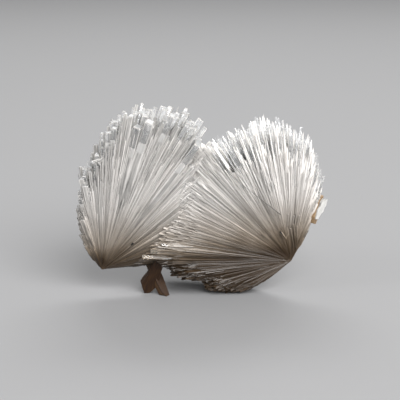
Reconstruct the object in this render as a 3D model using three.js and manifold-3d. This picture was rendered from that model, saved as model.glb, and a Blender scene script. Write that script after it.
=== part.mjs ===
// A scolecite specimen: two fans of slender square crystals that grew together, each spreading from one
// point. Two amber stilbite crystals cross under the middle, and one more sits on the right side beside a
// white blade.
// Millimetres, +Z up. The specimen rests on z = 0, +X runs along the fans and -Y is the front.
import * as THREE from "three";
import { mergeVertices } from "three/addons/utils/BufferGeometryUtils.js";
import Module from "manifold-3d";

const wasm = await Module();
wasm.setup();

// Both fans open in one plane, which leans back from upright by this angle. Points in it are [u, v, w]:
// u to the right, v up the plane and w out of its front.
const LEAN = THREE.MathUtils.degToRad(15);

// A fan's crystals all start at `root`. `reach` is how far they run in each direction of the plane, as
// [degrees from +u, millimetres], and `shortFront` the share that they lose towards the front face.
// `front` and `back` are half its thickness in degrees, and `stands` the directions that end on the floor.
const leftFan = {
  seed: 11,
  root: [-36.6, 8.1, 5],
  reach: [
    [9, 20], [14, 28], [22, 38], [32, 45], [42, 52], [48, 63], [55, 66], [62, 68.5], [67, 67], [71, 62.5],
    [80, 60.5], [89, 51.5], [95, 43], [101, 39], [106, 30], [111, 25], [115, 19], [121, 12.5], [127, 5],
  ],
  shortFront: [[20, 0], [70, 0], [78, 0.22], [92, 0.32], [110, 0.28], [127, 0.15]],
  front: 16,
  back: 22,
  columns: 26,
  layers: 6,
  slenderShare: 0.5,
};
const rightFan = {
  seed: 23,
  root: [32.9, 11.3, 5.8],
  reach: [
    [64, 12], [67, 27], [70, 34], [75, 37], [79, 43], [84, 48], [91, 50.5], [100, 54], [110, 53.5],
    [116, 52.5], [124, 54], [132, 56], [140, 52], [149, 48], [157, 48], [165, 52], [177, 54], [183, 48],
    [187, 45], [193, 34], [199, 33.5], [205, 28.5], [211, 24], [215, 19], [218, 9],
  ],
  shortFront: [
    [64, 0.1], [95, 0.05], [110, 0], [124, 0], [140, 0.04], [172, 0.06], [184, 0.1], [218, 0.2],
  ],
  front: 13,
  back: 27,
  columns: 34,
  layers: 6,
  slenderShare: 0.4,
  stands: [203, 213],
};
const STANDS_DEPTH = [-0.95, 0.35]; // how far back and forward the crystals that the specimen stands on go
const FLOOR_TRIM = 0.6; // the length that such a crystal would run past the floor, and is ground off

const PACKED_SHARE = [0.84, 0.95]; // a crystal inside a fan ends at this share of the reach
const FACE_SHARE = [0.74, 0.96]; // and one on its front or back face at this
const SLENDER_SHARE = [0.96, 1.04]; // a slender crystal stands out of the others to this share
const LEAST_STAND_OUT = 2.4; // and by at least this length
const POINT_HEIGHT = 1.3; // of the low point that ends a crystal
const RIDGE = 0.6; // how far the faces' edges stand in or out, as a share of one crystal

// The stilbite crystals: `outline` is [across, along] from the foot up, and both are cut flat by the floor.
const SOCKET_GAP = 0.3; // clear space round a crystal that is seated in another piece
const frontLeg = {
  foot: [-20.4, -1.8, 0.2],
  top: [-14.4, -5.6, 16.2],
  facing: [0.15, -1, 0.1],
  outline: [
    [-0.9, -1], [1.3, -0.6], [2.6, 1.6], [2.3, 6], [1.9, 10], [2.2, 17.4], [-2.2, 17.4], [-1.9, 10],
    [-2.5, 4.6], [-2.4, 1.4],
  ],
  thickness: 3.4,
};
const backLeg = {
  foot: [-13.5, -5.3, -0.2],
  top: [-20.4, 0.7, 14.8],
  facing: [0.2, -1, 0.4],
  outline: [[-0.6, -1], [1.3, -0.4], [1.8, 6], [1.6, 17.4], [-1.6, 17.4], [-1.8, 5], [-1.5, 1.2]],
  thickness: 2.6,
};
const sideCrystal = {
  foot: [40.2, -3.9, 28],
  top: [42.6, -3.3, 37.6],
  facing: [1, -0.5, 0.1],
  outline: [
    [-1.2, -0.6], [1.0, -0.9], [2.2, 1.5], [2.3, 6.8], [1.1, 9.6], [-0.9, 9.2], [-2.1, 7], [-2.2, 1.6],
  ],
  thickness: 2.4,
};
const whiteBlade = {
  foot: [42.4, -4.9, 28.6],
  top: [45.2, -4.7, 35.4],
  facing: [0.55, -1, 0],
  outline: [
    [-0.5, -0.4], [0.9, 0], [1.5, 2.2], [1.3, 5.6], [0.7, 7.6], [-0.2, 6.4], [-0.9, 7.2], [-1.4, 4.2],
  ],
  thickness: 1.3,
};
const CHAMFER = 0.35;

// A repeatable source of random numbers from 0 to 1.
function seeded(seed) {
  let state = seed >>> 0;
  return () => {
    state = (state + 0x6d2b79f5) >>> 0;
    let t = Math.imul(state ^ (state >>> 15), state | 1);
    t ^= t + Math.imul(t ^ (t >>> 7), t | 61);
    return ((t ^ (t >>> 14)) >>> 0) / 4294967296;
  };
}

// The value at x of a line through points [x, value].
function along(points, x) {
  const next = points.findIndex((p) => p[0] >= x);
  if (next === 0) return points[0][1];
  if (next < 0) return points[points.length - 1][1];
  const [x0, y0] = points[next - 1];
  const [x1, y1] = points[next];
  return y0 + ((y1 - y0) * (x - x0)) / (x1 - x0);
}

// A point or direction of the leaning plane in the part's frame.
function fromPlane(u, v, w) {
  return new THREE.Vector3(
    u,
    v * Math.sin(LEAN) - w * Math.cos(LEAN),
    v * Math.cos(LEAN) + w * Math.sin(LEAN),
  );
}

// A direction of a fan: `angle` in degrees in the plane, `depth` from -1 at the back to 1 at the front.
// The fan is thickest half way round and thins towards its two ends.
function direction(fan, angle, depth) {
  const first = fan.reach[0][0];
  const last = fan.reach[fan.reach.length - 1][0];
  const x = (2 * (angle - first)) / (last - first) - 1;
  const thickness = 0.45 + 0.55 * Math.sqrt(Math.max(0, 1 - x * x));
  const a = THREE.MathUtils.degToRad(angle);
  const upright = LEAN * Math.sin(a);
  const half = THREE.MathUtils.degToRad(depth > 0 ? fan.front : fan.back);
  const b = upright + depth * half * thickness;
  return fromPlane(Math.cos(a) * Math.cos(b), Math.sin(a) * Math.cos(b), Math.sin(b));
}

// How far a fan's crystals run in a direction: shorter towards the front and the back, and never through the
// floor by more than what is ground off.
function reachAt(fan, angle, depth) {
  const lost = along(fan.shortFront, angle) * (depth > 0 ? 1 : 0.7);
  const free = along(fan.reach, angle) * (1 - lost * depth * depth);
  const drop = -direction(fan, angle, depth).z;
  if (drop < 0.02) return free;
  const toFloor = (fromPlane(...fan.root).z + FLOOR_TRIM) / drop;
  return standsAt(fan, angle, depth) ? toFloor : Math.min(free, toFloor);
}

function standsAt(fan, angle, depth) {
  if (!fan.stands) return false;
  const [from, to] = fan.stands;
  return angle > from && angle < to && depth > STANDS_DEPTH[0] && depth < STANDS_DEPTH[1];
}

function solidOf(points, triangles) {
  const vertProperties = new Float32Array(points);
  const triVerts = new Uint32Array(triangles);
  return new wasm.Manifold(new wasm.Mesh({ numProp: 3, vertProperties, triVerts }));
}

function solidOfGeometry(geometry) {
  geometry.deleteAttribute("normal");
  geometry.deleteAttribute("uv");
  const merged = mergeVertices(geometry, 1e-4);
  return solidOf(merged.attributes.position.array, merged.index.array);
}

// The skin of a crystal cluster: its points, and triangles between them that face outwards.
class Skin {
  points = [];
  triangles = [];

  add(point) {
    this.points.push(point);
    return this.points.length - 1;
  }

  // A strip between two rows of points that run outwards side by side.
  strip(left, right) {
    let l = 0;
    let r = 0;
    while (l < left.length - 1 || r < right.length - 1) {
      const onLeft = r === right.length - 1 || (l < left.length - 1 && l <= r);
      const triangle = onLeft ? [left[l], right[r], left[l + 1]] : [left[l], right[r], right[r + 1]];
      if (onLeft) l += 1;
      else r += 1;
      if (new Set(triangle).size === 3) this.triangles.push(triangle);
    }
  }

  // A band between two rings of four points.
  band(lower, upper) {
    lower.forEach((point, k) => {
      const next = (k + 1) % 4;
      this.triangles.push([point, lower[next], upper[next]], [point, upper[next], upper[k]]);
    });
  }

  // A four-sided point on a ring.
  cap(ring, tip) {
    const top = this.add(tip);
    ring.forEach((point, k) => this.triangles.push([point, ring[(k + 1) % 4], top]));
  }

  solid() {
    return solidOf(this.points.flatMap((p) => p.toArray()), this.triangles.flat());
  }
}

// The rays that part a fan's crystals. Those on its two faces stand in and out by turns, which makes ridges.
function raysOf(fan, random) {
  const { columns, layers } = fan;
  const first = fan.reach[0][0];
  const span = fan.reach[fan.reach.length - 1][0] - first;
  const rays = [];
  for (let i = 0; i <= columns; i++) {
    rays.push([]);
    for (let j = 0; j <= layers; j++) {
      const atEnd = i === 0 || i === columns;
      const angle = first + (span * (i + (atEnd ? 0 : 0.6 * (random() - 0.5)))) / columns;
      const ridge = RIDGE * random() * (i % 2 ? 1 : -1);
      const layer = j + (j === 0 ? -ridge : j === layers ? ridge : 0.5 * (random() - 0.5));
      rays[i].push({ direction: direction(fan, angle, (2 * layer) / layers - 1) });
    }
  }
  return rays;
}

// The length of each crystal, for every cell of four rays.
function lengthsOf(fan, random) {
  const { columns, layers } = fan;
  const lengths = [];
  for (let i = 0; i < columns; i++) {
    lengths.push([]);
    for (let j = 0; j < layers; j++) {
      const { angle, depth } = cell(fan, i, j);
      const shares = j === 0 || j === layers - 1 ? FACE_SHARE : PACKED_SHARE;
      const share = THREE.MathUtils.lerp(...shares, random());
      lengths[i].push((standsAt(fan, angle, depth) ? 1 : share) * reachAt(fan, angle, depth));
    }
  }
  partDiagonals(lengths);
  return lengths;
}

// The middle of a cell.
function cell(fan, i, j) {
  const first = fan.reach[0][0];
  const span = fan.reach[fan.reach.length - 1][0] - first;
  return { angle: first + (span * (i + 0.5)) / fan.columns, depth: (2 * (j + 0.5)) / fan.layers - 1 };
}

// Lengthens a crystal wherever two long ones would touch only along an edge, with two short ones beside them.
function partDiagonals(lengths) {
  let changed = true;
  while (changed) {
    changed = false;
    for (let i = 1; i < lengths.length; i++) {
      for (let j = 1; j < lengths[0].length; j++) {
        const one = [[i - 1, j - 1], [i, j]];
        const other = [[i, j - 1], [i - 1, j]];
        for (const [high, low] of [[one, other], [other, one]]) {
          const least = Math.min(...high.map(([p, q]) => lengths[p][q]));
          const [a, b] = low.map(([p, q]) => lengths[p][q]);
          if (least > a && least > b) {
            const [p, q] = a > b ? low[0] : low[1];
            lengths[p][q] = least + 0.3;
            changed = true;
          }
        }
      }
    }
  }
}

// A fan as one solid. Each crystal fills the cell between four rays and ends at its own length.
function fanOfCrystals(fan) {
  const random = seeded(fan.seed);
  const { columns, layers } = fan;
  const root = fromPlane(...fan.root);
  const rays = raysOf(fan, random);
  const lengths = lengthsOf(fan, random);
  const lengthAt = (i, j) => lengths[i]?.[j];
  const skin = new Skin();
  const apex = skin.add(root);

  // each ray has a point for every length at which one of its crystals ends
  for (let i = 0; i <= columns; i++) {
    for (let j = 0; j <= layers; j++) {
      const around = [lengthAt(i - 1, j - 1), lengthAt(i, j - 1), lengthAt(i - 1, j), lengthAt(i, j)];
      const ends = [...new Set(around.filter((r) => r !== undefined))].sort((p, q) => p - q);
      const ray = rays[i][j];
      ray.ends = ends.map((r) => ({ r, point: skin.add(root.clone().addScaledVector(ray.direction, r)) }));
    }
  }

  // the wall of a crystal between two of its rays, where it stands out of the next one
  const wall = (left, right, r, nextLength) => {
    if (r <= nextLength) return;
    const rows = [left, right].map((ray) => {
      const row = ray.ends.filter((end) => end.r >= nextLength && end.r <= r).map((end) => end.point);
      return nextLength === 0 ? [apex, ...row] : row;
    });
    skin.strip(...rows);
  };
  for (let i = 0; i < columns; i++) {
    for (let j = 0; j < layers; j++) {
      const r = lengthAt(i, j);
      const corners = [rays[i][j], rays[i + 1][j], rays[i + 1][j + 1], rays[i][j + 1]];
      const sides = [[i, j - 1], [i + 1, j], [i, j + 1], [i - 1, j]];
      sides.forEach(([p, q], k) => wall(corners[k], corners[(k + 1) % 4], r, lengthAt(p, q) ?? 0));
      const shoulder = corners.map((ray) => ray.ends.find((end) => end.r === r).point);
      const directions = corners.map((ray) => ray.direction);
      endCrystal(skin, fan, random, { i, j, r, root, shoulder, corners: directions });
    }
  }
  return skin.solid();
}

// Ends a crystal in a low point, or draws a slender crystal out of it that runs on to the fan's full reach.
function endCrystal(skin, fan, random, { i, j, r, root, shoulder, corners }) {
  const { angle, depth } = cell(fan, i, j);
  const inMiddle = Math.abs(depth) < 0.45;
  const reach = reachAt(fan, angle, depth) * THREE.MathUtils.lerp(...SLENDER_SHARE, random());
  const slender = random() < (inMiddle ? 0.95 : fan.slenderShare) && reach > r + LEAST_STAND_OUT;
  const centre = [random(), random()].map((x) => 0.3 + 0.4 * x);
  const half = 0.2 + 0.1 * random();
  if (!slender) {
    const middle = corners.reduce((sum, d) => sum.add(d), new THREE.Vector3()).normalize();
    skin.cap(shoulder, root.clone().addScaledVector(middle, r + POINT_HEIGHT));
    return;
  }
  const across = (x, y) => {
    const near = corners[0].clone().lerp(corners[1], x);
    return near.lerp(corners[3].clone().lerp(corners[2], x), y);
  };
  const axis = across(...centre).normalize();
  const foot = [[-1, -1], [1, -1], [1, 1], [-1, 1]].map(([x, y]) =>
    root.clone().addScaledVector(across(centre[0] + x * half, centre[1] + y * half), r + 0.4 * POINT_HEIGHT),
  );
  const width = foot[0].distanceTo(foot[2]) / Math.SQRT2;
  const length = reach - r;
  const low = foot.map((p) => skin.add(p));
  const high = foot.map((p) => skin.add(p.clone().addScaledVector(axis, length - 0.4 * width)));
  skin.band(shoulder, low);
  skin.band(low, high);
  const top = foot.reduce((sum, p) => sum.add(p), new THREE.Vector3()).divideScalar(4);
  skin.cap(high, top.addScaledVector(axis, length));
}

// A tabular crystal with chamfered edges, standing from its foot towards its top. `grow` makes it larger all
// round, for the socket that it sits in.
function tablet({ foot, top, facing, outline, thickness }, grow = 0) {
  const shape = new THREE.Shape(outline.map(([across, up]) => new THREE.Vector2(across, up)));
  const depth = thickness - 2 * CHAMFER + 2 * grow;
  const geometry = new THREE.ExtrudeGeometry(shape, {
    depth,
    bevelEnabled: true,
    bevelThickness: CHAMFER,
    bevelSize: CHAMFER,
    bevelOffset: grow - CHAMFER,
    bevelSegments: 1,
  });
  const y = new THREE.Vector3(...top).sub(new THREE.Vector3(...foot)).normalize();
  const x = new THREE.Vector3().crossVectors(y, new THREE.Vector3(...facing)).normalize();
  const z = new THREE.Vector3().crossVectors(x, y);
  geometry.translate(0, 0, -depth / 2);
  geometry.applyMatrix4(new THREE.Matrix4().makeBasis(x, y, z).setPosition(...foot));
  return solidOfGeometry(geometry);
}

// The largest piece's outer skin alone, so that a hollow closed in between the crystals is filled.
function filled(made) {
  return made.decompose().reduce((best, piece) => (piece.volume() > best.volume() ? piece : best));
}

function meshOf(made, name, material) {
  const { vertProperties, triVerts } = made.getMesh();
  const geometry = new THREE.BufferGeometry();
  geometry.setAttribute("position", new THREE.BufferAttribute(new Float32Array(vertProperties), 3));
  geometry.setIndex(new THREE.BufferAttribute(new Uint32Array(triVerts), 1));
  geometry.computeVertexNormals();
  const mesh = new THREE.Mesh(geometry, material);
  mesh.name = name;
  return mesh;
}

const belowFloor = solidOfGeometry(new THREE.BoxGeometry(400, 400, 100).translate(0, 0, -50));
const legs = tablet(frontLeg).add(tablet(backLeg)).subtract(belowFloor);
const side = tablet(sideCrystal);
const blade = tablet(whiteBlade).subtract(tablet(sideCrystal, SOCKET_GAP));
const seats = [frontLeg, backLeg, sideCrystal, whiteBlade].map((crystal) => tablet(crystal, SOCKET_GAP));
const fans = fanOfCrystals(leftFan).add(fanOfCrystals(rightFan)).subtract(belowFloor);
const sprays = filled(seats.reduce((rest, seat) => rest.subtract(seat), fans));

const clearCrystal = new THREE.MeshStandardMaterial({ color: 0xe6e2dd, roughness: 0.2, metalness: 0 });
const amberCrystal = new THREE.MeshStandardMaterial({ color: 0x8a5a2a, roughness: 0.35, metalness: 0 });
const whiteCrystal = new THREE.MeshStandardMaterial({ color: 0xece8e0, roughness: 0.4, metalness: 0 });

const specimen = new THREE.Group();
specimen.add(
  meshOf(sprays, "scolecite_sprays", clearCrystal),
  meshOf(legs, "stilbite_legs", amberCrystal),
  meshOf(side, "side_stilbite", amberCrystal),
  meshOf(blade, "white_blade", whiteCrystal),
);
export default specimen;
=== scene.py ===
import math
import random

import bmesh
import bpy
from mathutils import Matrix, Quaternion, Vector, noise


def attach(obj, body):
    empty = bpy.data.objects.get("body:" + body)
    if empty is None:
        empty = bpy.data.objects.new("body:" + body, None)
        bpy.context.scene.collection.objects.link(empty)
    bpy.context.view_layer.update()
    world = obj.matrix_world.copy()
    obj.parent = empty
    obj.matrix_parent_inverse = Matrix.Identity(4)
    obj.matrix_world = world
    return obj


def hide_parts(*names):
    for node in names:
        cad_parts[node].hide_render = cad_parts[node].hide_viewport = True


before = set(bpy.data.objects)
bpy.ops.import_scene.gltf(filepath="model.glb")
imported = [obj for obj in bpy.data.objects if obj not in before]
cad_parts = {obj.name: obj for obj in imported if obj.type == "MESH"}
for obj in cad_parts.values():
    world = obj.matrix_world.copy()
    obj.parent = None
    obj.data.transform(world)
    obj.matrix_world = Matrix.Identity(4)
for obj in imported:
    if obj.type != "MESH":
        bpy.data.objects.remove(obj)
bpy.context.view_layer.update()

# --------------------------------------------------------------------------------------------------
# The left fan: some fifteen hundred slender scolecite crystals, silky white and clear towards their cleaved
# ends, with finer needles on their front. They all grew from one point at the lower left, which iron stained.
# Each is a copy of one of a few forms, set on a point of its own, and all are joined to one mesh.

MM = 0.001
LEAN = math.radians(15)  # both fans open in one plane, which leans back from upright by this angle
THIN_END = 0.45  # a fan's thickness at its two ends, as a share of that half way round
BACK_LOSS = 0.7  # the share of `short_front` that the crystals at the back lose
LEVEL = 0.02  # a heading that drops by no more than this stays clear of the floor


def in_plane(u, v, w):
    """A point or direction of the leaning plane: u to the right, v up the plane, w out of its front."""
    return Vector((
        u,
        v * math.sin(LEAN) - w * math.cos(LEAN),
        v * math.cos(LEAN) + w * math.sin(LEAN),
    ))


def along(points, x):
    """The value at x of a line through points (x, value)."""
    if x <= points[0][0]:
        return points[0][1]
    for (x0, y0), (x1, y1) in zip(points, points[1:]):
        if x <= x1:
            return y0 + (y1 - y0) * (x - x0) / (x1 - x0)
    return points[-1][1]


class Fan:
    """Where a fan's crystals may grow: from its root to `reach` millimetres, by degrees round its plane.

    They lose the share `short_front` of that towards its front face. `front` and `back` are half its
    thickness, in degrees. In the `sheltered` directions they end beside the other fan or the floor, and the
    longest of them dip into the fan by the share `dip`. Past `cloudy_from` they are slimmer and cloudy.
    """

    def __init__(self, root, reach, short_front, front, back, sheltered, dip, cloudy_from):
        self.root = in_plane(*root) * MM
        self.reach = reach
        self.short_front = short_front
        self.front = front
        self.back = back
        self.sheltered = sheltered
        self.dip = dip
        self.cloudy_from = cloudy_from
        self.first = reach[0][0]
        self.last = reach[-1][0]

    def half_thickness(self, angle, side):
        """Half the fan's thickness in degrees: it thins towards its two ends."""
        x = 2 * (angle - self.first) / (self.last - self.first) - 1
        fullness = THIN_END + (1 - THIN_END) * math.sqrt(max(0.0, 1 - x * x))
        return (self.front if side > 0 else self.back) * fullness

    def heading(self, angle, depth):
        """The direction `angle` degrees round the plane, at a depth from -1 at the back to 1 at the front."""
        a = math.radians(angle)
        b = LEAN * math.sin(a) + math.radians(depth * self.half_thickness(angle, depth))
        return in_plane(math.cos(a) * math.cos(b), math.sin(a) * math.cos(b), math.sin(b))

    def free_length(self, angle, depth):
        """How far crystals run there, in metres. None passes through the floor."""
        lost = along(self.short_front, angle) * (1 if depth > 0 else BACK_LOSS)
        free = along(self.reach, angle) * (1 - lost * depth * depth) * MM
        drop = -self.heading(angle, depth).z
        return min(free, self.root.z / drop) if drop > LEVEL else free


# Both fans have four forms of crystal, in this order: cloudy and pointed, cloudy and blunt, clear at the end,
# and clear from further in. A form's materials are, in this order, for its cloudy parts and painted edge
# highlight, its clear and half clear parts and its end face.
SPEAR, BLUNT, LONG, SEE_THROUGH = range(4)
CLOUDY_AND_PAINTED_EDGE_PART, CLEAR_PART, HALF_CLEAR_PART, END_FACE = range(4)
RUNS_ALONG = 0.5  # an edge that rises by more than this share of its length runs along the crystal
CORNERWISE = 0.3  # a face turned by more than this both ways lies on a chamfered edge
TOP = 0.999  # a face above this share of the crystal's length is its end face
PER_CENT = 100


def form_of(name, bm, finishes):
    """A form of crystal, kept outside the scene. Its points record their own place in it as `grain`."""
    grain = bm.verts.layers.float_vector.new("grain")
    for vert in bm.verts:
        vert[grain] = vert.co
    mesh = bpy.data.meshes.new(name)
    bm.to_mesh(mesh)
    bm.free()
    for finish in finishes:
        mesh.materials.append(finish)
    return bpy.data.objects.new(name, mesh)


def crystal_form(name, finishes, neck, full_at, shoulder, tip, misty_at=1.0, clear_at=1.0, chamfer=0.0):
    """One square crystal, a unit long and a unit wide, which widens from its neck and narrows at its end.

    It is full from `full_at` to `shoulder`, and `tip` is the width left at its end, both ways. It is cloudy
    up to `misty_at`, half clear from there and clear from `clear_at`. Where it is chamfered, its chamfered
    edges and its narrowing end take the cloudy finish too, as a painted highlight of a clear crystal's
    bright outline.
    """
    bm = bmesh.new()
    corner = math.sqrt(0.5)
    flats = Matrix.Rotation(math.pi / 4, 4, "Z")
    bmesh.ops.create_cone(
        bm, cap_ends=True, segments=4, radius1=corner * neck, radius2=corner, depth=full_at,
        matrix=Matrix.Translation((0, 0, full_at / 2)) @ flats,
    )

    def draw_out(height, width=(1.0, 1.0)):
        top = max(bm.faces, key=lambda face: face.calc_center_median().z)
        rise = height - top.calc_center_median().z
        made = bmesh.ops.extrude_discrete_faces(bm, faces=[top])["faces"][0]
        bmesh.ops.scale(bm, verts=made.verts, vec=(*width, 1))
        bmesh.ops.translate(bm, verts=made.verts, vec=(0, 0, rise))

    def rise_of(edge):
        return abs((edge.verts[1].co - edge.verts[0].co).normalized().z)

    for height in (misty_at, clear_at, shoulder):
        if full_at < height <= shoulder:
            draw_out(height)
    if chamfer:
        bmesh.ops.bevel(
            bm, geom=[edge for edge in bm.edges if rise_of(edge) > RUNS_ALONG], offset=chamfer * PER_CENT,
            offset_type="PERCENT", segments=1, profile=0.5, affect="EDGES", material=-1,
        )
    draw_out(1.0, tip)
    bm.normal_update()

    def finish_of(face):
        height = face.calc_center_median().z
        on_edge = min(abs(face.normal.x), abs(face.normal.y)) > CORNERWISE and height < shoulder
        if height > TOP:
            return END_FACE
        # chamfered edges and the narrowing end take the cloudy finish as a painted highlight of the bright
        # outline
        if height < misty_at or chamfer and (on_edge or height > shoulder):
            return CLOUDY_AND_PAINTED_EDGE_PART
        return CLEAR_PART if height > clear_at else HALF_CLEAR_PART

    if len(finishes) > 1:
        for face in bm.faces:
            face.material_index = finish_of(face)
    return form_of(name, bm, finishes)


def hair_form(name, finishes, neck, shoulder):
    """A needle too fine to show its faces: three sides and a sharp end."""
    bm = bmesh.new()
    bmesh.ops.create_cone(
        bm, cap_ends=True, segments=3, radius1=0.5 * neck, radius2=0.5, depth=shoulder,
        matrix=Matrix.Translation((0, 0, shoulder / 2)),
    )
    top = max(bm.faces, key=lambda face: face.calc_center_median().z)
    bmesh.ops.poke(bm, faces=[top], offset=1 - shoulder)
    return form_of(name, bm, finishes)


BUNDLES_ROUND = 0.23  # how quickly one bundle follows another round a fan, for each degree
BUNDLES_DEEP = 2.4  # and from its middle to its front
PATTERN_APART = 40  # between the pattern of the bundles' lengths and that of their tones
LENGTHS, TONES = range(2)
TERRACES = 0.03  # how far a bundle's crystals end before or past the others, as a share of the reach
SHELTERED_END = 0.78  # the share of the reach at which the shortest sheltered crystals end
SHELTERED_SPREAD = 0.22  # and by how much more the longest go on
CLOUDY_WIDTH = 0.65  # a cloudy crystal's width, as a share of the others'
FLOOR_CLEARANCE = 0.6  # how far a crystal's middle line ends above the floor, as a share of its width
LEAST_LENGTH = 5.0  # millimetres, and a shorter crystal is left out
MIDDLE_TONE = 0.5
BUNDLE_TONE = 0.3  # how much lighter or darker a bundle is
CRYSTAL_TONE = 0.24  # and a crystal in it


def bundle(fan, angle, depth, pattern):
    """A number from -1 to 1 that neighbouring crystals share, as those of one bundle do."""
    own_pattern = fan.root.x * 1000 + PATTERN_APART * pattern
    return noise.noise(Vector((angle * BUNDLES_ROUND, depth * BUNDLES_DEEP, own_pattern)))


def generation(
    fan, luck, spacing, depths, starts, ends, widths, forms=(SPEAR,), wander=0.35, ends_clear=0.0, first=0,
):
    """One generation of a fan's crystals, `spacing` degrees apart.

    `depths` go from -1 at the fan's back to 1 at its front. `starts` and `ends` are shares of the way out,
    and `widths` are in millimetres. The crystals `wander` by about so many degrees. None grows within
    `ends_clear` degrees of the fan's two ends, or before the direction `first`.
    """
    crystals = []
    columns = round((fan.last - fan.first) / spacing)
    for column in range(columns):
        middle = fan.first + (column + 0.5) * spacing
        across = sum(fan.half_thickness(middle, side) for side in (-1, 1)) / 2
        rows = max(1, round((depths[1] - depths[0]) * across / spacing))
        for row in range(rows):
            angle = middle + spacing * luck.uniform(-0.5, 0.5)
            depth = depths[0] + (depths[1] - depths[0]) * (row + luck.random()) / rows
            if min(angle - fan.first, fan.last - angle) < ends_clear or angle < first:
                continue
            free = fan.free_length(angle, depth)
            start, end = luck.uniform(*starts), luck.uniform(*ends)
            end += TERRACES * bundle(fan, angle, depth, LENGTHS)
            form = luck.choice(forms)
            if fan.sheltered[0] < angle < fan.sheltered[1]:
                form = SPEAR
                sunk = luck.random()
                end = SHELTERED_END + SHELTERED_SPREAD * sunk
                depth -= fan.dip * sunk * max(0.0, depth)
            elif angle > fan.cloudy_from:
                form = luck.choice((SPEAR, BLUNT, BLUNT))
            heading = fan.heading(angle, depth)
            aside = Quaternion(heading.orthogonal(), math.radians(luck.gauss(0, wander)))
            aside.rotate(Quaternion(heading, luck.uniform(0, 2 * math.pi)))
            heading = aside @ heading
            width = luck.uniform(*widths) * MM * (CLOUDY_WIDTH if angle > fan.cloudy_from else 1)
            if heading.z < -LEVEL:
                free = min(free, (fan.root.z - FLOOR_CLEARANCE * width) / -heading.z)
                end = min(end, 1.0)
            length = (end - start) * free
            foot = fan.root + heading * start * free
            tone = MIDDLE_TONE + BUNDLE_TONE * bundle(fan, angle, depth, TONES) + luck.gauss(0, CRYSTAL_TONE)
            tone = min(1.0, max(0.0, tone))
            if length > LEAST_LENGTH * MM:
                crystals.append((foot, heading, length, width, form, tone))
    return crystals


FLATTEST = 0.75  # a crystal's depth is this share of its width or more


def seeds(name, crystals, luck, roll):
    """A point where each crystal starts, with its turn, size, form and tone."""
    front = in_plane(0, 0, 1)
    bm = bmesh.new()
    turn = bm.verts.layers.float_vector.new("turn")
    size = bm.verts.layers.float_vector.new("size")
    kind = bm.verts.layers.int.new("kind")
    tone = bm.verts.layers.float.new("tone")
    for foot, heading, length, width, form, shade in crystals:
        seed = bm.verts.new(foot)
        across = front.cross(heading).normalized()
        facing = Matrix((heading.cross(across), -across, heading)).transposed().to_quaternion()
        seed[turn] = Vector((facing @ Quaternion((0, 0, 1), luck.gauss(0, roll))).to_euler())
        seed[size] = Vector((width, width * luck.uniform(FLATTEST, 1.0), length))
        seed[kind] = form
        seed[tone] = shade
    mesh = bpy.data.meshes.new(name)
    bm.to_mesh(mesh)
    bm.free()
    return mesh


def grown(name, crystals, forms, luck, roll=3.0):
    """Crystals of the given forms as one mesh. A face of each looks forward, give or take `roll` radians."""
    habit = bpy.data.collections.new(name + "_forms")
    for form in forms:
        habit.objects.link(form)
    piece = bpy.data.objects.new(name, seeds(name, crystals, luck, roll))
    bpy.context.scene.collection.objects.link(piece)

    tree = bpy.data.node_groups.new(name, "GeometryNodeTree")
    tree.interface.new_socket("Seeds", in_out="INPUT", socket_type="NodeSocketGeometry")
    tree.interface.new_socket("Crystals", in_out="OUTPUT", socket_type="NodeSocketGeometry")
    start, finish = tree.nodes.new("NodeGroupInput"), tree.nodes.new("NodeGroupOutput")
    source = tree.nodes.new("GeometryNodeCollectionInfo")
    source.inputs["Collection"].default_value = habit
    source.inputs["Separate Children"].default_value = True
    source.inputs["Reset Children"].default_value = True
    place = tree.nodes.new("GeometryNodeInstanceOnPoints")
    place.inputs["Pick Instance"].default_value = True
    tree.links.new(start.outputs[0], place.inputs["Points"])
    tree.links.new(source.outputs[0], place.inputs["Instance"])
    for socket, attribute_name, data_type in (
        ("Instance Index", "kind", "INT"),
        ("Rotation", "turn", "FLOAT_VECTOR"),
        ("Scale", "size", "FLOAT_VECTOR"),
    ):
        read = tree.nodes.new("GeometryNodeInputNamedAttribute")
        read.data_type = data_type
        read.inputs["Name"].default_value = attribute_name
        tree.links.new(read.outputs["Attribute"], place.inputs[socket])
    join = tree.nodes.new("GeometryNodeRealizeInstances")
    tree.links.new(place.outputs[0], join.inputs[0])
    tree.links.new(join.outputs[0], finish.inputs[0])
    grow = piece.modifiers.new("grow", "NODES")
    grow.node_group = tree

    ready = piece.evaluated_get(bpy.context.evaluated_depsgraph_get())
    piece.data = bpy.data.meshes.new_from_object(ready)
    piece.modifiers.clear()
    for used_up in ("turn", "size", "kind"):
        if used_up in piece.data.attributes:
            piece.data.attributes.remove(piece.data.attributes[used_up])
    return piece


def feed(tree, term, socket):
    """Links a node's socket to another node's output, or sets it to a plain value."""
    if isinstance(term, bpy.types.NodeSocket):
        tree.links.new(term, socket)
    else:
        socket.default_value = term


def reckoned(tree, operation, *terms, clamp=False):
    """What a Math node makes of its terms."""
    node = tree.nodes.new("ShaderNodeMath")
    node.operation = operation
    node.use_clamp = clamp
    for term, socket in zip(terms, node.inputs):
        feed(tree, term, socket)
    return node.outputs[0]


def vector_reckoned(tree, operation, *terms):
    """What a Vector Math node makes of its terms: a vector, or a number for a distance or a dot product."""
    node = tree.nodes.new("ShaderNodeVectorMath")
    node.operation = operation
    for term, socket in zip(terms, node.inputs):
        feed(tree, term, socket)
    return node.outputs["Value" if operation in ("DISTANCE", "DOT_PRODUCT") else "Vector"]


def ranged(tree, value, near, far, at_near=0.0, at_far=1.0, interpolation="LINEAR"):
    """`at_near` up to the value `near`, `at_far` from `far` on, and what lies between in between."""
    node = tree.nodes.new("ShaderNodeMapRange")
    node.interpolation_type = interpolation
    sockets = {"Value": value, "From Min": near, "From Max": far, "To Min": at_near, "To Max": at_far}
    for socket, term in sockets.items():
        feed(tree, term, node.inputs[socket])
    return node.outputs[0]


MIX_UNDER, MIX_OVER, MIX_RESULT = 6, 7, 2  # the sockets of a Mix node that hold colours


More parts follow.
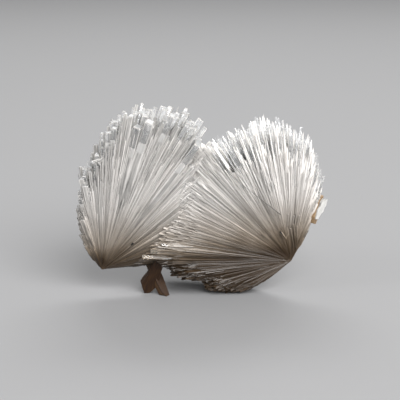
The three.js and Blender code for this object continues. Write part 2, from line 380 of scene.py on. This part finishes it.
def mixed(tree, share, under, over, blend_type="MIX"):
    """A colour laid over another one by a share."""
    node = tree.nodes.new("ShaderNodeMix")
    node.data_type = "RGBA"
    node.blend_type = blend_type
    feed(tree, share, node.inputs["Factor"])
    feed(tree, under, node.inputs[MIX_UNDER])
    feed(tree, over, node.inputs[MIX_OVER])
    return node.outputs[MIX_RESULT]


def clouded(tree, place, scale, detail, roughness=0.5, pattern=None):
    """Noise over a place, in a pattern of its own for each value of `pattern`."""
    node = tree.nodes.new("ShaderNodeTexNoise")
    if pattern is not None:
        node.noise_dimensions = "4D"
        feed(tree, pattern, node.inputs["W"])
    feed(tree, place, node.inputs["Vector"])
    for socket, value in (("Scale", scale), ("Detail", detail), ("Roughness", roughness)):
        node.inputs[socket].default_value = value
    return node.outputs["Fac"]


def attribute(tree, name, output):
    """One of the attributes that the mesh was given when it was made."""
    node = tree.nodes.new("ShaderNodeAttribute")
    node.attribute_name = name
    return node.outputs[output]


def raised(tree, height, strength, distance, surface):
    """Fine relief on a surface, `distance` millimetres high."""
    bump = tree.nodes.new("ShaderNodeBump")
    bump.inputs["Strength"].default_value = strength
    bump.inputs["Distance"].default_value = distance * MM
    tree.links.new(height, bump.inputs["Height"])
    tree.links.new(bump.outputs["Normal"], surface.inputs["Normal"])


def shade_group(name, inputs, outputs):
    """An empty shader node group with named sockets, and its input and output nodes."""
    group = bpy.data.node_groups.new(name, "ShaderNodeTree")
    for socket, form in inputs:
        group.interface.new_socket(socket, in_out="INPUT", socket_type=form)
    for socket, form in outputs:
        group.interface.new_socket(socket, in_out="OUTPUT", socket_type=form)
    return group, group.nodes.new("NodeGroupInput"), group.nodes.new("NodeGroupOutput")


LEFT_ROOT = (-36.6, 8.1, 5.0)
RIGHT_ROOT = (32.9, 11.3, 5.8)  # of the right fan, whose crystals have the same stain

# A stain is full up to so many millimetres from a root, or above the floor, and gone past so many more.
# The one by height above the floor is iron stain and painted shade together, darker towards the floor.
FAINT_FROM_ROOT = (2.5, 16)
FAINT_STAIN_AND_SHADE_FROM_FLOOR = (14, 44)
STRONG_FROM_ROOT = (2, 10)
STRONG_STAIN_AND_SHADE_FROM_FLOOR = (12, 25)
# the stain and painted shade by height above the floor reach higher towards the right
STAIN_AND_SHADE_RISE_BY = 0.08  # millimetres higher for each one towards the right
STAIN_UNEVEN = 10  # millimetres from where it gives out soonest to where it goes on longest


def stain_and_shade_group(roots):
    """Iron stain: strong near the fans' roots and, with painted shade, near the floor, and faint further out.
    """
    group, given, result = shade_group(
        "iron_stain_and_painted_shade",
        [("Clean", "NodeSocketColor"), ("Faint", "NodeSocketColor"), ("Strong", "NodeSocketColor")],
        [("Color", "NodeSocketColor")],
    )
    place = group.nodes.new("ShaderNodeTexCoord").outputs["Object"]
    nearest = reckoned(group, "MINIMUM", *[vector_reckoned(group, "DISTANCE", place, root) for root in roots])
    # Height above the floor: a stain by it is also painted shade, darker and browner towards the floor.
    height = vector_reckoned(group, "DOT_PRODUCT", place, (-STAIN_AND_SHADE_RISE_BY, 0, 1))
    cloud = clouded(group, place, scale=90.0, detail=3.0)
    uneven = reckoned(group, "MULTIPLY_ADD", cloud, STAIN_UNEVEN * MM, -STAIN_UNEVEN / 2 * MM)

    def share(from_root, from_floor):
        """The larger of a stain's shares by the two distances, that by height also painted shade."""
        fades = []
        for distance, (full, gone) in ((nearest, from_root), (height, from_floor)):
            shifted = reckoned(group, "ADD", distance, uneven)
            fades.append(ranged(group, shifted, full * MM, gone * MM, 1.0, 0.0, "SMOOTHSTEP"))
        return reckoned(group, "MAXIMUM", *fades)

    faint_share = share(FAINT_FROM_ROOT, FAINT_STAIN_AND_SHADE_FROM_FLOOR)
    strong_share = share(STRONG_FROM_ROOT, STRONG_STAIN_AND_SHADE_FROM_FLOOR)
    faint = mixed(group, faint_share, given.outputs["Clean"], given.outputs["Faint"])
    strong = mixed(group, strong_share, faint, given.outputs["Strong"])
    group.links.new(strong, result.inputs["Color"])
    return group


LINES_PER_CRYSTAL = (4.4, 4.4, 4.5)  # cycles of their pattern across it, both ways, and along it
PATTERNS_FOR_TONES = 217.0  # so that each crystal, with its own tone, has its own lines
LINE_CONTRAST = (0.34, 0.62)  # the values of the pattern that make the darkest and the brightest lines
# over this range the painted highlight on a crystal's edges gives way to painted shade on its faces
EDGE_TO_FACE = (0.86, 0.70)  # |x| + |y| in the unit crystal's section, from near an edge to well on a face


def grain_and_painted_edge_group():
    """Fine lines along a crystal, from cracks and growth steps inside it, how bright it is as a whole, and
    painted shade in the middle of its faces, which leaves a painted highlight on its edges.

    `Dark` is what a crystal of the lowest tone loses, `Lines` what the darkest lines lose, and the third
    input what the middle of a face loses, as painted shade. `Height` is the lines' own.
    """
    group, given, result = shade_group(
        "silk_grain_and_painted_edges",
        [("Dark", "NodeSocketFloat"), ("Lines", "NodeSocketFloat"), ("Painted Face Shade", "NodeSocketFloat")],
        [("Shade", "NodeSocketFloat"), ("Height", "NodeSocketFloat")],
    )
    grain = attribute(group, "grain", "Vector")
    tone = attribute(group, "tone", "Fac")
    spread = vector_reckoned(group, "MULTIPLY", grain, LINES_PER_CRYSTAL)
    pattern = reckoned(group, "MULTIPLY", tone, PATTERNS_FOR_TONES)
    lines = clouded(group, spread, scale=1.0, detail=2.0, roughness=0.7, pattern=pattern)
    bright_lines = ranged(group, lines, *LINE_CONTRAST)
    # Painted shade in the middle of each face, so that its edges stand out as a painted highlight.
    section = group.nodes.new("ShaderNodeSeparateXYZ")
    group.links.new(vector_reckoned(group, "ABSOLUTE", grain), section.inputs[0])
    out_to_corner = reckoned(group, "ADD", section.outputs["X"], section.outputs["Y"])
    painted_face_shade_mask = ranged(group, out_to_corner, *EDGE_TO_FACE)
    low_tone = reckoned(group, "SUBTRACT", 1.0, tone)
    dark_lines = reckoned(group, "SUBTRACT", 1.0, bright_lines)
    for_tone = reckoned(group, "MULTIPLY", low_tone, given.outputs["Dark"])
    for_lines = reckoned(group, "MULTIPLY", dark_lines, given.outputs["Lines"])
    for_painted_face_shade = reckoned(group, "MULTIPLY", painted_face_shade_mask, given.outputs["Painted Face Shade"])
    lost = reckoned(group, "ADD", reckoned(group, "ADD", for_tone, for_lines), for_painted_face_shade)
    group.links.new(reckoned(group, "SUBTRACT", 1.0, lost, clamp=True), result.inputs["Shade"])
    group.links.new(bright_lines, result.inputs["Height"])
    return group


iron_stain_and_painted_shade = stain_and_shade_group([in_plane(*root) * MM for root in (LEFT_ROOT, RIGHT_ROOT)])
silk_grain_and_painted_edges = grain_and_painted_edge_group()
SCOLECITE_IOR = 1.515
LINE_RELIEF = 0.06  # millimetres


def scolecite(
    name, clean, faint, strong, transmission, roughness, dark=0.0, lines=0.0, faces=0.0, relief=0.0,
):
    """Scolecite: a glassy zeolite of low refraction, silky white where it is full of fine cracks.

    `clean`, `faint` and `strong` are its colours without and with each stain, which near the floor
    is painted shade as well.
    """
    material = bpy.data.materials.new(name)
    material.use_nodes = True
    tree = material.node_tree
    surface = tree.nodes["Principled BSDF"]
    surface.inputs["IOR"].default_value = SCOLECITE_IOR
    surface.inputs["Transmission Weight"].default_value = transmission
    surface.inputs["Roughness"].default_value = roughness
    colour = tree.nodes.new("ShaderNodeGroup")
    colour.node_tree = iron_stain_and_painted_shade
    for socket, value in (("Clean", clean), ("Faint", faint), ("Strong", strong)):
        colour.inputs[socket].default_value = (*value, 1)
    silk = tree.nodes.new("ShaderNodeGroup")
    silk.node_tree = silk_grain_and_painted_edges
    for socket, value in (("Dark", dark), ("Lines", lines), ("Painted Face Shade", faces)):
        silk.inputs[socket].default_value = value
    # The grain's shade holds painted shade on the middle of each face and a painted highlight on its edges.
    shaded = mixed(tree, 1.0, colour.outputs["Color"], silk.outputs["Shade"], "MULTIPLY")
    tree.links.new(shaded, surface.inputs["Base Color"])
    if relief:
        raised(tree, silk.outputs["Height"], strength=relief, distance=LINE_RELIEF, surface=surface)
    return material


# Stain colours. Near the floor the strong ones are painted shade as well, darkest under the right fan.
BROWN = {"faint": (0.28, 0.21, 0.14), "strong": (0.05, 0.029, 0.013)}
GLASSY_BROWN = {"faint": (0.38, 0.32, 0.25), "strong": (0.16, 0.11, 0.07)}
CLEAR_BROWN = {"faint": (0.7, 0.65, 0.57), "strong": (0.4, 0.3, 0.19)}
END_FACE_BROWN = {"faint": (0.5, 0.45, 0.37), "strong": (0.3, 0.22, 0.15)}

# In these scolecites, `faces` sets painted shade on the middle of each face against a painted edge highlight.
silky = scolecite(
    "silky_scolecite", clean=(0.8, 0.775, 0.745), **BROWN, transmission=0.3, roughness=0.32,
    dark=0.16, lines=0.36, faces=0.32, relief=0.4,
)
clear = scolecite(
    "clear_scolecite", clean=(0.9, 0.905, 0.91), **CLEAR_BROWN, transmission=0.87, roughness=0.08,
)
glassy = scolecite(
    "glassy_scolecite", clean=(0.76, 0.745, 0.725), **GLASSY_BROWN, transmission=0.4, roughness=0.16,
    dark=0.06, lines=0.18, faces=0.1, relief=0.4,
)
cleaved = scolecite(
    "cleaved_scolecite", clean=(0.88, 0.88, 0.88), **END_FACE_BROWN, transmission=0.8, roughness=0.3,
)
cloudy = scolecite(
    "cloudy_scolecite", clean=(0.98, 0.945, 0.905), **BROWN, transmission=0.05, roughness=0.4,
    dark=0.04, lines=0.08, relief=0.5,
)
streaky = scolecite(
    "streaky_scolecite", clean=(0.88, 0.85, 0.82), **BROWN, transmission=0.2, roughness=0.36,
    dark=0.42, lines=0.1,
)

left_fan = Fan(
    root=LEFT_ROOT,
    reach=(
        (9, 20), (14, 28), (22, 38), (32, 45), (42, 52), (48, 62), (55, 65.5), (62, 67), (67, 66.5), (70, 63),
        (80, 61.5), (85, 57.5), (89, 52), (95, 43), (101, 39), (106, 30), (111, 25), (115, 19), (121, 12.5),
        (127, 5),
    ),
    short_front=((20, 0.0), (40, -0.04), (78, -0.04), (90, 0.1), (110, 0.18), (127, 0.1)),
    front=16,
    back=22,
    sheltered=(9, 49),
    dip=0.42,
    cloudy_from=76,
)
thick = [silky, clear, glassy, cleaved]
thick_end = {"shoulder": 0.991, "tip": (0.85, 0.75)}
thick_long = {"neck": 0.15, "full_at": 0.4, **thick_end, "chamfer": 0.09}
thick_forms = [
    crystal_form("thick_spear", thick, neck=0.12, full_at=0.4, shoulder=0.82, tip=(0.2, 0.2)),
    crystal_form("thick_blunt", thick, neck=0.12, full_at=0.5, **thick_end, chamfer=0.08),
    crystal_form("thick_long", thick, **thick_long, misty_at=0.8, clear_at=0.88),
    crystal_form("thick_see_through", thick, **thick_long, misty_at=0.7, clear_at=0.8),
]
heart_forms = [crystal_form("heart", [cloudy], neck=0.05, full_at=0.8, shoulder=0.985, tip=(0.6, 0.6))]
hair_forms = [hair_form("hair", [streaky], neck=0.4, shoulder=0.97)]

left_luck = random.Random(11)
left_heart = grown(
    "left_fan_heart",
    generation(
        left_fan, left_luck, spacing=4.0, depths=(-0.8, 0.85), starts=(0, 0), ends=(0.7, 0.84),
        widths=(2.4, 3.4), ends_clear=14,
    ),
    heart_forms, left_luck,
)
left_crystals = grown(
    "left_fan_crystals",
    generation(
        left_fan, left_luck, spacing=2.0, depths=(-0.9, 0.9), starts=(0.3, 0.5), ends=(0.78, 0.9),
        widths=(1.1, 2.0), forms=[SPEAR, SPEAR, BLUNT],
    )
    + generation(
        left_fan, left_luck, spacing=3.8, depths=(-1, 0.4), starts=(0.3, 0.5), ends=(0.88, 1.0),
        widths=(1.2, 2.4), forms=[LONG, LONG, SEE_THROUGH],
    )
    + generation(
        left_fan, left_luck, spacing=3.1, depths=(0.4, 1), starts=(0.3, 0.5), ends=(0.94, 1.01),
        widths=(1.7, 3.3), forms=[LONG, LONG, SEE_THROUGH],
    )
    + generation(
        left_fan, left_luck, spacing=1.8, depths=(-1.06, -0.8), starts=(0.0, 0.15), ends=(0.84, 1.0),
        widths=(1.0, 1.8), forms=[LONG, LONG, SEE_THROUGH],
    )
    + generation(
        left_fan, left_luck, spacing=1.2, depths=(0.86, 1.0), starts=(0.0, 0.3), ends=(0.72, 0.95),
        widths=(0.6, 1.2), forms=[SPEAR, SPEAR, SPEAR, SPEAR, SEE_THROUGH], wander=0.4,
    ),
    thick_forms, left_luck, roll=0.2,
)
left_hair = grown(
    "left_fan_hair",
    generation(
        left_fan, left_luck, spacing=0.3, depths=(0.88, 1.04), starts=(0.02, 0.6), ends=(0.35, 0.92),
        widths=(0.22, 0.55), wander=0.6,
    ),
    hair_forms, left_luck, roll=0.5,
)
for piece in (left_heart, left_crystals, left_hair):
    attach(piece, "root")
    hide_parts("scolecite_sprays")

# --------------------------------------------------------------------------------------------------
# The right fan: thousands of finer crystals of the same kind. They spread from the lower right through nearly
# half a circle, from the right edge over the top and down to the floor. Thin clear ends make its rim, and
# fine hair covers its front.

right_fan = Fan(
    root=RIGHT_ROOT,
    reach=(
        (64, 12), (67, 27), (70, 34), (75, 37), (79, 43), (84, 48), (91, 50.5), (100, 54), (110, 53.5),
        (116, 52.5), (124, 54), (132, 56), (140, 52), (149, 48), (157, 48), (165, 52), (177, 54), (183, 48),
        (187, 45), (193, 34), (199, 33.5), (205, 28.5), (211, 24), (215, 19), (218, 9),
    ),
    short_front=(
        (64, 0.08), (80, 0), (95, -0.05), (124, -0.05), (136, -0.06), (156, -0.04), (166, 0.08), (176, 0.02),
        (184, 0.1), (218, 0.2),
    ),
    front=13,
    back=27,
    sheltered=(128, 218),
    dip=0.15,
    cloudy_from=112,
)
RAGGED_UNDERSIDE = 186  # past this direction hair grows all through the fan

# `faces` here too is painted shade on face middles against a painted highlight on the edges.
white = scolecite(
    "white_scolecite", clean=(0.95, 0.92, 0.885), **BROWN, transmission=0.05, roughness=0.36,
    dark=0.1, lines=0.14, faces=0.12,
)
misty = scolecite(
    "misty_scolecite", clean=(0.8, 0.795, 0.785), **GLASSY_BROWN, transmission=0.7, roughness=0.12,
    dark=0.06, lines=0.18, faces=0.1, relief=0.4,
)
fine = [white, clear, misty, cleaved]
fine_long = {"neck": 0.2, "full_at": 0.5, "shoulder": 0.99, "tip": (0.9, 0.8)}
fine_forms = [
    crystal_form("fine_spear", fine, neck=0.2, full_at=0.5, shoulder=0.88, tip=(0.2, 0.2)),
    crystal_form("fine_blunt", fine, neck=0.2, full_at=0.55, shoulder=0.985, tip=(0.8, 0.6)),
    crystal_form("fine_long", fine, **fine_long, misty_at=0.6, clear_at=0.75),
    crystal_form("fine_see_through", fine, **fine_long, misty_at=0.45, clear_at=0.6),
]

right_luck = random.Random(23)
right_heart = grown(
    "right_fan_heart",
    generation(
        right_fan, right_luck, spacing=3.5, depths=(-0.8, 0.55), starts=(0, 0), ends=(0.7, 0.84),
        widths=(2.0, 2.8), ends_clear=16,
    ),
    heart_forms, right_luck,
)
right_crystals = grown(
    "right_fan_crystals",
    generation(
        right_fan, right_luck, spacing=1.15, depths=(-0.9, 0.85), starts=(0.3, 0.5), ends=(0.68, 0.82),
        widths=(0.6, 1.1), forms=[SPEAR, SPEAR, BLUNT], wander=0.7,
    ),
    fine_forms, right_luck, roll=0.5,
)
right_rim = grown(
    "right_fan_rim",
    generation(
        right_fan, right_luck, spacing=1.7, depths=(-1, 1), starts=(0.4, 0.55), ends=(0.84, 1.0),
        widths=(0.35, 0.75), forms=[LONG, SEE_THROUGH],
    )
    + generation(
        right_fan, right_luck, spacing=1.1, depths=(-1.06, -0.85), starts=(0.0, 0.15), ends=(0.82, 0.98),
        widths=(0.5, 1.0), forms=[LONG, SEE_THROUGH],
    )
    + generation(
        right_fan, right_luck, spacing=1.0, depths=(0.88, 1.0), starts=(0.0, 0.3), ends=(0.7, 0.86),
        widths=(0.35, 0.7), wander=0.4,
    )
    + generation(
        right_fan, right_luck, spacing=1.3, depths=(0.85, 1.0), starts=(0.2, 0.4), ends=(0.84, 0.99),
        widths=(0.3, 0.6), forms=[LONG, SEE_THROUGH], wander=0.4,
    ),
    fine_forms, right_luck, roll=0.5,
)
right_hair = grown(
    "right_fan_hair",
    generation(
        right_fan, right_luck, spacing=0.26, depths=(0.92, 1.0), starts=(0.02, 0.4), ends=(0.35, 0.62),
        widths=(0.16, 0.32), wander=0.8,
    )
    + generation(
        right_fan, right_luck, spacing=0.24, depths=(0.94, 1.03), starts=(0.25, 0.65), ends=(0.5, 0.8),
        widths=(0.22, 0.42), wander=0.8,
    )
    + generation(
        right_fan, right_luck, spacing=0.5, depths=(-0.5, 1.04), starts=(0.02, 0.7), ends=(0.6, 1.0),
        widths=(0.3, 0.6), wander=0.8, first=RAGGED_UNDERSIDE,
    ),
    hair_forms, right_luck, roll=0.5,
)
for piece in (right_heart, right_crystals, right_rim, right_hair):
    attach(piece, "root")
    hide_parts("scolecite_sprays")

# --------------------------------------------------------------------------------------------------
# Stray and broken crystals of the same kind on the front, laid one by one: thick ends that stick out to the
# left and fragments on the left fan, short dark and pale bits by the right root, and long needles across the
# right fan.


def laid(start, end, width, form=SPEAR, shade=0.6):
    """A crystal set between two given points of the leaning plane, in millimetres."""
    foot = in_plane(*start) * MM
    reach = in_plane(*end) * MM - foot
    return foot, reach.normalized(), reach.length, width * MM, form, shade


stray_ends = grown(
    "stray_ends",
    [
        laid((-6.0, 14.6, 14.6), (-18.4, 15.3, 16.0), 1.9, LONG),
        laid((-8.5, 12.6, 14.6), (-21.2, 13.2, 15.0), 1.6, LONG),
        laid((-1.5, 11.1, 13.6), (-12.2, 11.3, 14.4), 1.3, SEE_THROUGH),
        laid((-3.0, 16.8, 15.8), (-14.5, 17.6, 16.8), 1.2, LONG),
        laid((-33.8, 48.6, 26.4), (-38.6, 46.6, 26.2), 0.9, BLUNT),
        laid((-37.2, 46.2, 26.0), (-33.0, 48.9, 27.4), 1.2, BLUNT),
        laid((-36.2, 48.2, 26.6), (-35.2, 45.6, 26.4), 0.8, BLUNT),
    ],
    thick_forms, right_luck, roll=0.2,
)
broken_bits = grown(
    "broken_bits",
    [
        laid((34.4, 16.2, 8.9), (33.0, 25.2, 13.2), 0.9, shade=0.0),
        laid((33.6, 16.4, 8.9), (32.2, 23.6, 12.4), 0.9, shade=-0.1),
        laid((35.1, 17.4, 9.3), (34.4, 24.4, 13.0), 0.8, shade=0.2),
        laid((31.0, 23.6, 12.5), (31.2, 28.6, 15.1), 0.9, shade=-0.1),
        laid((31.8, 23.2, 12.3), (32.2, 29.4, 15.3), 0.8, shade=0.1),
        laid((32.6, 23.6, 12.5), (33.2, 28.2, 14.8), 0.9, shade=-0.2),
        laid((33.5, 23.4, 12.3), (34.2, 29.2, 15.2), 0.8, shade=0.0),
        laid((34.3, 23.8, 12.5), (35.2, 28.0, 14.7), 0.8, shade=-0.1),
        laid((30.8, 19.6, 11.3), (28.9, 22.0, 12.6), 0.7, shade=0.9),
        laid((31.3, 21.4, 12.1), (30.5, 19.4, 11.2), 0.6, shade=0.9),
        laid((29.4, 20.9, 12.4), (28.3, 22.1, 13.0), 0.9, shade=-1.2),
        laid((24.2, 19.0, 13.2), (21.4, 21.3, 14.8), 0.6, shade=-0.6),
        laid((-25.5, 17.3, 12.4), (-24.7, 18.1, 13.0), 1.1, shade=-1.3),
    ],
    hair_forms, right_luck, roll=0.2,
)
long_needle = grown(
    "long_needle",
    [
        laid((14.4, 38.9, 23.9), (28.6, 28.2, 16.6), 0.6, shade=-0.5),
        laid((8.6, 45.0, 27.2), (15.0, 37.6, 23.4), 0.6, shade=-0.3),
        laid((10.4, 45.6, 27.4), (16.2, 38.2, 23.6), 0.6, shade=-0.3),
        laid((9.8, 44.8, 27.0), (11.2, 43.4, 26.4), 1.0, shade=-1.1),
        laid((24.5, 36.0, 20.2), (21.0, 43.4, 24.4), 0.5, shade=-0.5),
        laid((25.7, 36.2, 20.2), (24.5, 39.9, 22.3), 0.5, shade=-0.5),
        laid((28.9, 44.3, 23.6), (28.4, 49.8, 26.6), 0.5, shade=-0.5),
        laid((5.0, 31.8, 24.4), (2.6, 34.3, 26.0), 0.7, shade=-0.5),
        laid((-16.9, 31.9, 20.8), (-15.6, 33.2, 21.8), 0.6, shade=-0.8),
    ],
    hair_forms, right_luck, roll=0.2,
)
for piece in (stray_ends, broken_bits, long_needle):
    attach(piece, "root")
    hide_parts("scolecite_sprays")

# --------------------------------------------------------------------------------------------------
# The two legs: dark amber stilbite crystals, painted darker still with the shade under the fans, that cross
# under the middle and carry the left half of the specimen. Each is a sheaf of thin plates side by side, with
# fine streaks along them.

SLIMMER_OUTSIDE = 0.12  # the share of its width that the outermost plate would lose at the sheaf's face
UNEVEN_TOPS = 0.35  # millimetres that a plate's top end stands above or below the outline's
ABOVE_FOOT = 0.5  # points of an outline over this height belong to that end
WAVY = (0.93, 1.04)  # shares of the outline's width that the plates' own points go to
PLATE_OVERLAP = 1.04  # a plate's thickness as a share of its place, so that the plates hold together
EDGE_ROUND = 0.16  # of a plate's edges, as a share of its place


def sheaf(name, foot, top, facing, outline, thickness, plates, luck):
    """A tabular crystal of thin plates, each a little longer or shorter than its neighbours, in millimetres.

    `outline` is (across, along) from its foot, and the crystal's flat side looks towards `facing`.
    """
    up = (Vector(top) - Vector(foot)).normalized()
    across = up.cross(Vector(facing)).normalized()
    out = across.cross(up)
    stand = Matrix.Translation(Vector(foot)) @ Matrix((across, up, out)).transposed().to_4x4()
    each = thickness / plates
    bm = bmesh.new()
    tone = bm.verts.layers.float.new("tone")
    for plate in range(plates):
        middle = (plate + 0.5) * each - thickness / 2
        inner = 1 - SLIMMER_OUTSIDE * abs(2 * middle / thickness) ** 3
        longer = luck.uniform(-UNEVEN_TOPS, UNEVEN_TOPS)
        shade = luck.random()
        ring = []
        for x, y in outline:
            x = x * inner * luck.uniform(*WAVY)
            y = y + (longer if y > ABOVE_FOOT else 0)
            ring.append(bm.verts.new((x, y, middle - PLATE_OVERLAP / 2 * each)))
        face = bm.faces.new(ring)
        made = bmesh.ops.extrude_face_region(bm, geom=[face])["geom"]
        lid = [part for part in made if isinstance(part, bmesh.types.BMVert)]
        bmesh.ops.translate(bm, verts=lid, vec=(0, 0, PLATE_OVERLAP * each))
        for vert in ring + lid:
            vert[tone] = shade
    bmesh.ops.recalc_face_normals(bm, faces=bm.faces)
    bmesh.ops.bevel(
        bm, geom=bm.edges[:], offset=EDGE_ROUND * each, offset_type="OFFSET", segments=2, profile=0.5,
        affect="EDGES", clamp_overlap=True,
    )
    grain = bm.verts.layers.float_vector.new("grain")
    for vert in bm.verts:
        vert[grain] = vert.co
    bm.transform(stand)
    for vert in bm.verts:
        vert.co.z = max(vert.co.z, 0.0)
    bmesh.ops.scale(bm, verts=bm.verts, vec=(MM, MM, MM))
    mesh = bpy.data.meshes.new(name)
    bm.to_mesh(mesh)
    bm.free()
    piece = bpy.data.objects.new(name, mesh)
    bpy.context.scene.collection.objects.link(piece)
    return piece


STILBITE_IOR = 1.5
STILBITE_SHEEN = 0.25
STREAKS_PER_MM = (2.6, 0.22, 1.6)  # cycles of their pattern across a sheaf, along it and through it
TONE_OF_PLATES = 0.4  # how far a plate's own tone moves its streaks towards the light colour
DEEPEST = 0.45  # streaks up to this tone have the deep colour
LIGHTEST = 0.95  # and from here on the light one
STREAK_ROUGHNESS = (0.4, 0.7)
STREAK_RELIEF = 0.12  # millimetres


def stilbite(name, light, deep, transmission):
    """Glassy amber with silkier lines along the plates, darker in some plates than in others."""
    material = bpy.data.materials.new(name)
    material.use_nodes = True
    tree = material.node_tree
    surface = tree.nodes["Principled BSDF"]
    surface.inputs["IOR"].default_value = STILBITE_IOR
    surface.inputs["Transmission Weight"].default_value = transmission
    surface.inputs["Specular IOR Level"].default_value = STILBITE_SHEEN
    spread = vector_reckoned(tree, "MULTIPLY", attribute(tree, "grain", "Vector"), STREAKS_PER_MM)
    streaks = clouded(tree, spread, scale=1.0, detail=4.0, roughness=0.65)
    tone = reckoned(tree, "MULTIPLY_ADD", attribute(tree, "tone", "Fac"), TONE_OF_PLATES, streaks)
    colour = tree.nodes.new("ShaderNodeValToRGB")
    for end, place, shade in zip(colour.color_ramp.elements, (DEEPEST, LIGHTEST), (deep, light)):
        end.position = place
        end.color = (*shade, 1)
    tree.links.new(tone, colour.inputs["Fac"])
    tree.links.new(colour.outputs["Color"], surface.inputs["Base Color"])
    tree.links.new(ranged(tree, streaks, 0.0, 1.0, *STREAK_ROUGHNESS), surface.inputs["Roughness"])
    raised(tree, streaks, strength=0.6, distance=STREAK_RELIEF, surface=surface)
    return material


# Its colours are darker than the amber itself: painted shade for the legs' place under the fans.
amber_painted_shade = stilbite(
    "amber_stilbite_painted_shade", light=(0.06, 0.028, 0.008), deep=(0.016, 0.006, 0.0018), transmission=0.1,
)
amber_luck = random.Random(5)
front_leg = sheaf(
    "front_leg", foot=(-20.4, -1.8, 0.2), top=(-14.4, -5.6, 16.2), facing=(0.15, -1, 0.1),
    outline=(
        (-0.4, -1), (1.3, -0.6), (1.8, 1.9), (2.6, 3.8), (2.9, 7.7), (2.0, 11.8), (2.2, 17.4), (-2.2, 17.4),
        (-2.2, 12), (-2.4, 7.9), (-3.5, 4.0), (-2.5, 2.1),
    ),
    thickness=3.4, plates=5, luck=amber_luck,
)
back_leg = sheaf(
    "back_leg", foot=(-13.5, -5.3, -0.2), top=(-20.4, 0.7, 14.8), facing=(0.9, -1, -0.3),
    outline=((-0.6, -1), (1.3, -0.4), (1.8, 6), (1.6, 17.4), (-1.6, 17.4), (-1.8, 5), (-1.5, 1.2)),
    thickness=2.6, plates=4, luck=amber_luck,
)
for piece in (front_leg, back_leg):
    piece.data.materials.append(amber_painted_shade)
    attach(piece, "root")
    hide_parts("stilbite_legs")

# --------------------------------------------------------------------------------------------------
# The side crystal: a short, wide sheaf of tan stilbite on the right side of the right fan. It sits between
# the fan's crystals, and is lighter and lets more light through than the legs.

tan_amber = stilbite("tan_amber_stilbite", light=(0.38, 0.26, 0.15), deep=(0.2, 0.12, 0.06), transmission=0.3)
side_crystal = sheaf(
    "side_crystal", foot=(40.2, -3.9, 28), top=(42.6, -3.3, 37.6), facing=(1, -0.5, 0.1),
    outline=(
        (-1.2, -0.6), (1.0, -0.9), (2.2, 1.5), (2.3, 6.8), (1.1, 9.6), (-0.9, 9.2), (-2.1, 7), (-2.2, 1.6),
    ),
    thickness=2.4, plates=4, luck=amber_luck,
)
side_crystal.data.materials.append(tan_amber)
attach(side_crystal, "root")
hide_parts("side_stilbite")

# --------------------------------------------------------------------------------------------------
# The white blade: three thin pearly plates with a ragged outline. They stand out to the right, close beside
# the side crystal.

pearly = stilbite("pearly_blade", light=(0.62, 0.61, 0.59), deep=(0.4, 0.39, 0.37), transmission=0.3)
white_blade = sheaf(
    "white_blade_plates", foot=(41.3, -5.4, 29.5), top=(44.1, -5.2, 36.3), facing=(0.55, -1, 0),
    outline=(
        (-0.5, -0.4), (0.7, 0), (0.9, 1.8), (1.4, 2.6), (1.2, 4.4), (1.5, 5.4), (0.9, 7.6), (0.1, 6.2),
        (-0.5, 7.4), (-1.1, 5.8), (-0.8, 4.4), (-1.3, 3.0), (-0.9, 1.4),
    ),
    thickness=1.3, plates=3, luck=amber_luck,
)
white_blade.data.materials.append(pearly)
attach(white_blade, "root")
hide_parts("white_blade")

# --------------------------------------------------------------------------------------------------
# The studio: a plain pale floor, one large soft light high in front and to the right, a weak one on the left
# and one behind, an even white light from all round, and a long lens from a little above.

FLOOR_GREY = (0.175, 0.175, 0.177, 1)
FLOOR_ROUGHNESS = 0.8
SKY_STRENGTH = 0.74

bpy.ops.mesh.primitive_plane_add(size=12, location=(0, 0, 0))
floor = bpy.context.object
floor.name = "floor"
paper = bpy.data.materials.new("floor_paper")
paper.use_nodes = True
paper.node_tree.nodes["Principled BSDF"].inputs["Base Color"].default_value = FLOOR_GREY
paper.node_tree.nodes["Principled BSDF"].inputs["Roughness"].default_value = FLOOR_ROUGHNESS
floor.data.materials.append(paper)


def softbox(name, place, aim, size, power):
    """A rectangle of soft light, in metres and watts."""
    light = bpy.data.lights.new(name, "AREA")
    light.shape = "RECTANGLE"
    light.size, light.size_y = size
    light.energy = power
    lamp = bpy.data.objects.new(name, light)
    lamp.location = place
    lamp.rotation_euler = (Vector(aim) - Vector(place)).to_track_quat("-Z", "Y").to_euler()
    bpy.context.scene.collection.objects.link(lamp)


middle = Vector((0, 0, 0.035))
softbox("key", place=(0.6, -1.2, 1.15), aim=middle, size=(1.4, 1.2), power=72)
softbox("left", place=(-1.2, -0.5, 0.9), aim=middle, size=(0.4, 0.8), power=5)
softbox("back", place=(0.1, 0.9, 1.1), aim=middle, size=(1.2, 0.4), power=14)

world = bpy.data.worlds.new("studio")
bpy.context.scene.world = world
world.use_nodes = True
world.node_tree.nodes["Background"].inputs["Color"].default_value = (1.0, 1.0, 1.0, 1)
world.node_tree.nodes["Background"].inputs["Strength"].default_value = SKY_STRENGTH

FRAME_PIXELS = 400  # the frame's width and height
PIXEL = 0.3614 * MM  # the width of one, at the specimen
ABOVE = math.radians(15)  # how far the camera looks down
LENS = 100.0
AIM = (-0.54, -3.0, 35.6)
camera = bpy.data.cameras.new("camera")
camera.lens = LENS
viewer = bpy.data.objects.new("camera", camera)
bpy.context.scene.collection.objects.link(viewer)
distance = FRAME_PIXELS * PIXEL * LENS / camera.sensor_width
to_viewer = Vector((0, -math.cos(ABOVE), math.sin(ABOVE)))
viewer.location = Vector(AIM) * MM + to_viewer * distance
viewer.rotation_euler = (-to_viewer).to_track_quat("-Z", "Y").to_euler()
bpy.context.scene.camera = viewer

view = bpy.context.scene.view_settings
view.view_transform = "Standard"

# light passes through many clear crystals, one behind the other, before it comes out again
cycles = bpy.context.scene.cycles
cycles.max_bounces = 64
cycles.transmission_bounces = 64
cycles.diffuse_bounces = 16
cycles.glossy_bounces = 24
